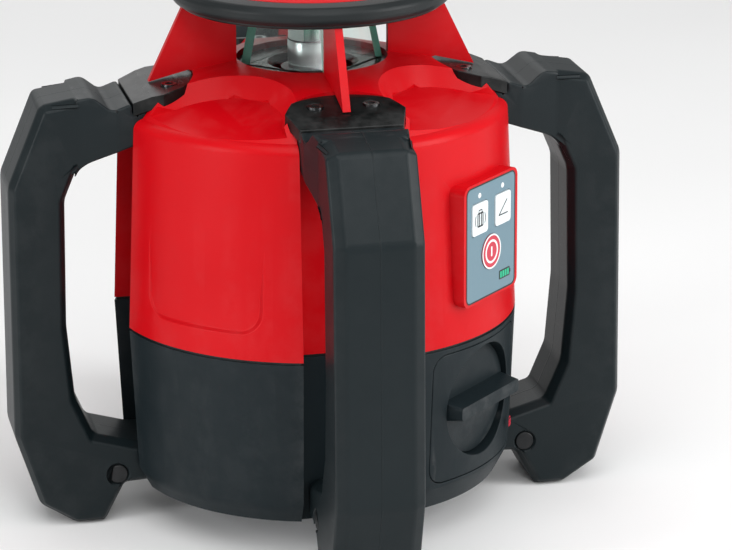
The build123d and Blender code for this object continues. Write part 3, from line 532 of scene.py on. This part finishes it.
def stroke(points, width):
    """Outline of a straight-jointed pen stroke through the points."""
    left, right = [], []
    for i, (x, y) in enumerate(points):
        x0, y0 = points[max(i - 1, 0)]
        x1, y1 = points[min(i + 1, len(points) - 1)]
        length = sqrt((x1 - x0) ** 2 + (y1 - y0) ** 2)
        nx, ny = -(y1 - y0) / length * width / 2, (x1 - x0) / length * width / 2
        left.append((x + nx, y + ny))
        right.append((x - nx, y - ny))
    return left + right[::-1]


def on_front(mesh, distance, x, z, tilt=0.0):
    """Stands a flat plate upright on the -Y side, its face looking outwards."""
    turn = Matrix.Rotation(tilt, 4, "Z") @ Matrix.Rotation(pi / 2, 4, "X")
    mesh.transform(Matrix.Translation((x, -distance, z)) @ turn)
    return mesh


def merged(meshes):
    whole = bmesh.new()
    for mesh in meshes:
        data = bpy.data.meshes.new("part")
        mesh.to_mesh(data)
        mesh.free()
        whole.from_mesh(data)
        bpy.data.meshes.remove(data)
    return whole


# ------------------------------------------------------------------ operators
class LASER_OT_stage(bpy.types.Operator):
    """Place the camera, the floor and the soft studio lights"""

    bl_idname = "laser.stage"
    bl_label = "Studio"

    def execute(self, context):
        settings = context.scene.laser_stage
        self.camera(context, settings)
        self.floor(context, settings)
        self.surround(context, settings)
        self.lights(context, settings)
        context.scene.view_settings.view_transform = "Standard"
        return {"FINISHED"}

    def camera(self, context, settings):
        data = bpy.data.cameras.new("camera")
        data.sensor_width = 36.0
        data.lens = settings.lens
        data.clip_end = 20.0
        camera = bpy.data.objects.new("camera", data)
        context.scene.collection.objects.link(camera)
        look = Vector(settings.camera_aim) - Vector(settings.camera_place)
        turn = look.to_track_quat("-Z", "Y").to_matrix() @ Matrix.Rotation(settings.camera_roll, 3, "Z")
        camera.matrix_world = Matrix.Translation(settings.camera_place) @ turn.to_4x4()
        context.scene.camera = camera

    def floor(self, context, settings):
        mesh = bmesh.new()
        bmesh.ops.create_grid(mesh, x_segments=2, y_segments=2, size=settings.floor_size / 2)
        data = bpy.data.meshes.new("floor")
        mesh.to_mesh(data)
        mesh.free()
        floor = bpy.data.objects.new("floor", data)
        context.scene.collection.objects.link(floor)
        floor.location.z = CAD_LOW.z
        material, board, shader = new_material("Pale Floor")
        tone = tuple(settings.floor_tone)
        cloud = board.ramp(board.noise(3.0, 2.0, 0.5, board.place()), 0.3, 0.7)
        board.feed(board.mix(cloud, tone, darker(tone, 0.03)), shader.inputs["Base Color"])
        shader.inputs["Roughness"].default_value = 0.7
        shader.inputs["Specular IOR Level"].default_value = 0.2
        data.materials.append(material)

    def surround(self, context, settings):
        world = bpy.data.worlds.new("studio")
        context.scene.world = world
        world.use_nodes = True
        world.node_tree.nodes.clear()
        board = Board(world.node_tree)
        lit = board.add("ShaderNodeBackground", {"Color": (1.0, 1.0, 1.0), "Strength": settings.surround})
        seen = board.add("ShaderNodeBackground", {"Color": (1.0, 1.0, 1.0), "Strength": 1.0})
        path = board.add("ShaderNodeLightPath")
        mixed = board.add("ShaderNodeMixShader", {0: path.outputs["Is Camera Ray"]})
        board.tree.links.new(lit.outputs[0], mixed.inputs[1])
        board.tree.links.new(seen.outputs[0], mixed.inputs[2])
        output = board.add("ShaderNodeOutputWorld")
        board.tree.links.new(mixed.outputs[0], output.inputs[0])

    def lights(self, context, settings):
        plan = (("key", (0.5, -1.7, 0.75), 0.7, 1.3, 22.0), ("side", (-1.75, 0.75, 0.55), 0.6, 1.2, 13.0),
                ("top", (-0.6, -0.5, 1.5), 1.5, 1.5, 16.0), ("rim", (1.2, 1.4, 1.1), 1.6, 1.6, 6.0),
                ("front", (-1.5, -1.6, 1.3), 0.6, 0.6, 8.0))
        for name, place, width, height, power in plan:
            data = bpy.data.lights.new(name, "AREA")
            data.shape = "RECTANGLE"
            data.size, data.size_y = width, height
            data.energy = power * settings.light_power
            light = bpy.data.objects.new(name, data)
            context.scene.collection.objects.link(light)
            light.location = place
            light.rotation_euler = (Vector((0, 0, 0.11)) - Vector(place)).to_track_quat("-Z", "Y").to_euler()


class LASER_OT_finishes(bpy.types.Operator):
    """Build the shared shader groups and give every part its material"""

    bl_idname = "laser.finishes"
    bl_label = "Finishes"

    def execute(self, context):
        build_spark_grain()
        build_edge_wear()
        build_handling()
        build_settled_dust()
        build_parting_line()
        build_label_recess()
        MATERIALS.update(build_materials(context.scene.laser_shell))
        for node, part in NODES.items():
            part.data.materials.clear()
            part.data.materials.append(MATERIALS[SLOT_OF[node]])
        return {"FINISHED"}


class LASER_OT_housings(bpy.types.Operator):
    """Round the moulded edges of the two housings, the bumper ring and the cap"""

    bl_idname = "laser.housings"
    bl_label = "Housings"

    def execute(self, context):
        shell = context.scene.laser_shell
        soft_copy("upper_housing", "upper_shell", shell.edge_radius)
        soft_copy("lower_housing", "lower_shell", shell.edge_radius)
        soft_copy("bumper_ring", "bumper", 0.0008, 3, 20.0)
        soft_copy("top_plate", "roof_plate", 0.0006)
        soft_copy("base_plate", "foot_plate", 0.0006)
        return {"FINISHED"}


class LASER_OT_handles(bpy.types.Operator):
    """Round the guard handles and their flanges"""

    bl_idname = "laser.handles"
    bl_label = "Guard handles"

    def execute(self, context):
        shell = context.scene.laser_shell
        for corner, angle in CORNERS.items():
            self.handle(shell, corner, radians(angle))
            soft_copy("handle_flange_" + corner, "flange_" + corner, 0.0008, 3, 20.0, "flange_gloss")
        soft_copy("handle_bolts", "guard_bolts", 0.0004, 2, 30.0, "bolt_black")
        return {"FINISHED"}

    def handle(self, shell, corner, angle):
        node = "handle_" + corner
        mesh = cleaned(node)
        weight = mesh.edges.layers.float.new("bevel_weight_edge")
        across = Vector((-sin(angle), cos(angle), 0.0))
        for edge in mesh.edges:
            if len(edge.link_faces) != 2 or edge.calc_face_angle(0.0) < radians(5.0):
                continue
            run = (edge.verts[1].co - edge.verts[0].co).normalized()
            lies_across = abs(run.dot(across)) > 0.9 and edge.calc_length() > 0.02
            edge[weight] = 1.0 if lies_across else shell.handle_edge / shell.handle_corner
        piece = finish_piece(mesh, "guard_" + corner, BODY_OF[node], SLOT_OF[node], (node,))
        soften(piece, shell.handle_corner, 4, weighted=True)


class LASER_OT_cage(bpy.types.Operator):
    """Colour the panes' ground edges and dress the rotating head"""

    bl_idname = "laser.cage"
    bl_label = "Glass cage and head"

    def execute(self, context):
        for side, angle in SIDES.items():
            self.pane(side, radians(angle))
        self.rotor()
        return {"FINISHED"}

    def pane(self, side, angle):
        node = "window_" + side
        piece = finish_piece(cleaned(node), "pane_" + side, BODY_OF[node], SLOT_OF[node], (node,))
        piece.data.materials.append(MATERIALS["pane_edge"])
        out = Vector((cos(angle), sin(angle), 0.0))
        for face in piece.data.polygons:
            face.material_index = 0 if abs(face.normal.dot(out)) > 0.8 else 1

    def rotor(self):
        low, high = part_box("head_body")
        radius = (high.x - low.x) / 2
        collar_share = 0.44
        middle = low.z + collar_share * (high.z - low.z)
        skin = 0.25 * MM
        outer = radius + skin
        profile = [(radius, low.z + 0.4 * MM), (outer, low.z + 0.8 * MM), (outer, middle - 0.4 * MM),
                   (radius, middle)]
        collar = finish_piece(turned(profile, 64), "rotor_collar", "rotating_head", "head_white",
                              material="bright_steel")
        collar.data.shade_smooth()
        ring = [(radius + 0.05 * MM, middle), (outer, middle + 0.2 * MM), (outer, middle + 0.5 * MM),
                (radius + 0.05 * MM, middle + 0.7 * MM)]
        groove = finish_piece(turned(ring, 64), "rotor_groove", "rotating_head", "head_white",
                              material="black_ink")
        groove.data.shade_smooth()


class LASER_OT_keypad(bpy.types.Operator):
    """Print the keypad: key symbols, lamps, charge gauge and a black band painted as the shade in the gap
    round the foil
    """

    bl_idname = "laser.keypad"
    bl_label = "Keypad"

    def execute(self, context):
        low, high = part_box("keypad_foil")
        face = -low.y
        centre = (low.z + high.z) / 2
        width, height = high.x - low.x, high.z - low.z
        # Black band painted as the shade inside the recessed gap round the foil.
        gap_shade_band = band(box_outline(width + 0.9 * MM, height + 0.9 * MM, 2.9 * MM),
                      box_outline(width - 0.3 * MM, height - 0.3 * MM, 2.4 * MM), 0.10 * MM)
        finish_piece(on_front(gap_shade_band, face, 0, centre), "foil_gap_shade", "housing", "black_plastic",
                     material="black_ink")
        self.lamps(face)
        self.gauge(face)
        self.symbols()
        return {"FINISHED"}

    def lamps(self, face):
        for key in ("key_shock", "key_slope"):
            low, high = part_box(key)
            x = (low.x + high.x) / 2
            outline = [(1.1 * MM, 0.0), (1.0 * MM, 0.15 * MM), (0.6 * MM, 0.3 * MM), (0.0, 0.35 * MM)]
            dome = turned(outline, 24)
            lamp = finish_piece(on_front(dome, face, x, high.z + 3.0 * MM), "lamp_" + key[4:], "housing",
                                "key_white", material="white_ink")
            lamp.data.shade_smooth()

    def gauge(self, face):
        low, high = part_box("key_slope")
        x, z = (low.x + high.x) / 2 + 1.9 * MM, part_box("keypad_foil")[0].z + 6.0 * MM
        frame_ink = [plate([box_outline(8.4 * MM, 3.8 * MM, 0.5 * MM)], 0.06 * MM),
                     plate([box_outline(0.7 * MM, 1.5 * MM, 0.2 * MM, 4.5 * MM)], 0.06 * MM)]
        finish_piece(on_front(merged(frame_ink), face, x, z), "gauge_frame", "housing", "black_plastic",
                     material="black_ink")
        bars = [box_outline(1.35 * MM, 2.7 * MM, 0.2 * MM, (i - 1.5) * 1.85 * MM) for i in range(4)]
        finish_piece(on_front(plate(bars, 0.12 * MM), face, x, z), "gauge_bars", "housing", "black_plastic",
                     material="gauge_green")

    def symbols(self):
        ink = 0.08 * MM
        low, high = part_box("key_shock")
        x, z, face = (low.x + high.x) / 2, (low.z + high.z) / 2, -low.y
        case = [band(box_outline(4.6 * MM, 6.0 * MM, 0.6 * MM, 0, -0.4 * MM),
                     box_outline(3.4 * MM, 4.8 * MM, 0.3 * MM, 0, -0.4 * MM), ink),
                plate([box_outline(0.6 * MM, 5.4 * MM, 0.1 * MM, dx * MM, -0.4 * MM)
                       for dx in (-0.8, 0.8)], ink),
                plate([stroke([(-1.2 * MM, 2.5 * MM), (-1.2 * MM, 3.6 * MM), (1.2 * MM, 3.6 * MM),
                               (1.2 * MM, 2.5 * MM)], 0.5 * MM)], ink),
                plate([stroke([(side * 3.4 * MM, -2.6 * MM), (side * 4.1 * MM, -0.4 * MM),
                               (side * 3.4 * MM, 1.8 * MM)], 0.4 * MM) for side in (-1, 1)], ink)]
        finish_piece(on_front(merged(case), face, x, z), "symbol_shock", "shock_key", "key_white",
                     material="black_ink")
        low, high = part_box("key_slope")
        x, z, face = (low.x + high.x) / 2, (low.z + high.z) / 2, -low.y
        slope = [stroke([(3.6 * MM, -2.4 * MM), (-3.4 * MM, -2.4 * MM)], 0.5 * MM),
                 stroke([(-3.4 * MM, -2.4 * MM), (3.0 * MM, 3.2 * MM)], 0.5 * MM)]
        finish_piece(on_front(plate(slope, ink), face, x, z), "symbol_slope", "slope_key", "key_white",
                     material="black_ink")
        low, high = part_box("key_power")
        x, z, face = (low.x + high.x) / 2, (low.z + high.z) / 2, -low.y
        power = [band(disc_outline(4.9 * MM, count=40), disc_outline(4.0 * MM, count=40), ink),
                 plate([box_outline(1.0 * MM, 4.2 * MM, 0.45 * MM)], ink)]
        finish_piece(on_front(merged(power), face, x, z), "symbol_power", "power_key", "key_red",
                     material="white_ink")
        rim = band(disc_outline(7.25 * MM, count=48), disc_outline(6.6 * MM, count=48), 0.1 * MM)
        finish_piece(on_front(rim, face, x, z), "power_rim", "power_key", "key_red", material="white_ink")


class LASER_OT_battery(bpy.types.Operator):
    """Round the battery door and its lock, and mark them"""

    bl_idname = "laser.battery"
    bl_label = "Battery door"

    def execute(self, context):
        soft_copy("battery_case", "battery_door", 0.0007, 3, 25.0)
        soft_copy("lock_knob", "lock_grip", 0.0007, 3, 25.0)
        low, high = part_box("lock_knob")
        x, z = (low.x + high.x) / 2, (low.z + high.z) / 2
        disc_depth = 6.5 * MM
        disc_face = -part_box("battery_case")[0].y - disc_depth
        drop_radius, drop_height, drop_lift = 3.1 * MM, 5.4 * MM, 13.0 * MM
        aside = 0.6 * MM
        pointer = disc_outline(drop_radius, 0, 0, 14, radians(200), radians(340)) + [(aside, drop_height)]
        mark = on_front(plate([pointer], 0.12 * MM), disc_face, x + aside, z + drop_lift)
        finish_piece(mark, "lock_pointer", "battery_lock", "dark_shell", material="black_ink")
        self.padlock()
        return {"FINISHED"}

    def padlock(self):
        """Small closed padlock beside the knob, on the curved door."""
        low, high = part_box("battery_case")
        x, z = 26.0 * MM, (low.z + high.z) / 2 - 16.5 * MM
        radius = -low.y
        lean = -atan2(x, radius)
        shackle = disc_outline(1.35 * MM, 0, 1.3 * MM, 12, 0, pi)
        inner = disc_outline(0.85 * MM, 0, 1.3 * MM, 12, 0, pi)
        parts = [plate([box_outline(3.6 * MM, 2.8 * MM, 0.4 * MM, 0, -0.4 * MM)], 0.12 * MM),
                 plate([shackle + inner[::-1]], 0.12 * MM)]
        mark = on_front(merged(parts), 0, 0, 0, -lean)
        mark.transform(Matrix.Translation((x, -sqrt(radius ** 2 - x ** 2) - 0.02 * MM, z)))
        finish_piece(mark, "padlock_mark", "battery_pack", "dark_shell", material="red_ink")


class LASER_OT_stand_insert(bpy.types.Operator):
    """Cut the stand thread in the brass insert"""

    bl_idname = "laser.stand_insert"
    bl_label = "Stand thread"

    def execute(self, context):
        mount = next(m for m in RECORD["mounts"] if m["name"] == "stand_thread")
        low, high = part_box("tripod_insert")
        outer = (high.x - low.x) / 2
        minor = mount["dims"]["r_mm"] * MM
        threads_per_inch = 11
        pitch = 25.4 / threads_per_inch * MM
        depth = 1.2 * MM
        closed_end = 2.0 * MM
        end_cut = 0.6
        around, per_turn = 32, 6
        length = high.z - low.z - closed_end
        rows = int(length / pitch * per_turn)
        mesh = bmesh.new()
        wall = []
        for row in range(rows + 1):
            ring = []
            for step in range(around):
                turn = 2 * pi * step / around
                phase = (row / per_turn - step / around) % 1.0
                cut = depth * (1.0 - abs(2.0 * phase - 1.0)) if 0 < row < rows else depth * end_cut
                radius = minor + cut
                height = low.z + length * row / rows
                ring.append(mesh.verts.new((radius * cos(turn), radius * sin(turn), height)))
            wall.append(ring)
        rims = []
        for radius, z in ((outer, low.z), (outer, high.z), (0.0, high.z), (0.0, low.z + length)):
            count = around if radius else 1
            rims.append([mesh.verts.new((x, y, z)) for x, y in disc_outline(radius, count=count)])
        loops = [rims[3]] + wall[::-1] + rims[:3]
        for a, b in zip(loops, loops[1:]):
            for i in range(around):
                j = (i + 1) % around
                corners = list(dict.fromkeys([a[i % len(a)], a[j % len(a)], b[j % len(b)], b[i % len(b)]]))
                if len(corners) > 2:
                    mesh.faces.new(corners)
        bmesh.ops.recalc_face_normals(mesh, faces=mesh.faces)
        finish_piece(mesh, "stand_thread_insert", BODY_OF["tripod_insert"], SLOT_OF["tripod_insert"],
                     ("tripod_insert",))
        return {"FINISHED"}


STEPS = (LASER_OT_stage, LASER_OT_finishes, LASER_OT_housings, LASER_OT_handles, LASER_OT_cage,
         LASER_OT_keypad, LASER_OT_battery, LASER_OT_stand_insert)


class LASER_PT_panel(bpy.types.Panel):
    """Lists the build steps in order"""

    bl_idname = "LASER_PT_panel"
    bl_label = "Rotating Laser Level"
    bl_space_type = "VIEW_3D"
    bl_region_type = "UI"
    bl_category = "Laser Level"

    def draw(self, context):
        for step in STEPS:
            self.layout.operator(step.bl_idname)
        for name, group in SETTINGS.items():
            box = self.layout.box()
            for field in group.__annotations__:
                box.prop(getattr(context.scene, name), field)


def register():
    for name, group in SETTINGS.items():
        bpy.utils.register_class(group)
        setattr(bpy.types.Scene, name, PointerProperty(type=group))
    for step in STEPS:
        bpy.utils.register_class(step)
    bpy.utils.register_class(LASER_PT_panel)


def unregister():
    bpy.utils.unregister_class(LASER_PT_panel)
    for step in reversed(STEPS):
        bpy.utils.unregister_class(step)
    for name, group in reversed(list(SETTINGS.items())):
        delattr(bpy.types.Scene, name)
        bpy.utils.unregister_class(group)


def main():
    register()
    for step in STEPS:
        family, action = step.bl_idname.split(".")
        getattr(getattr(bpy.ops, family), action)()


if __name__ == "__main__":
    main()
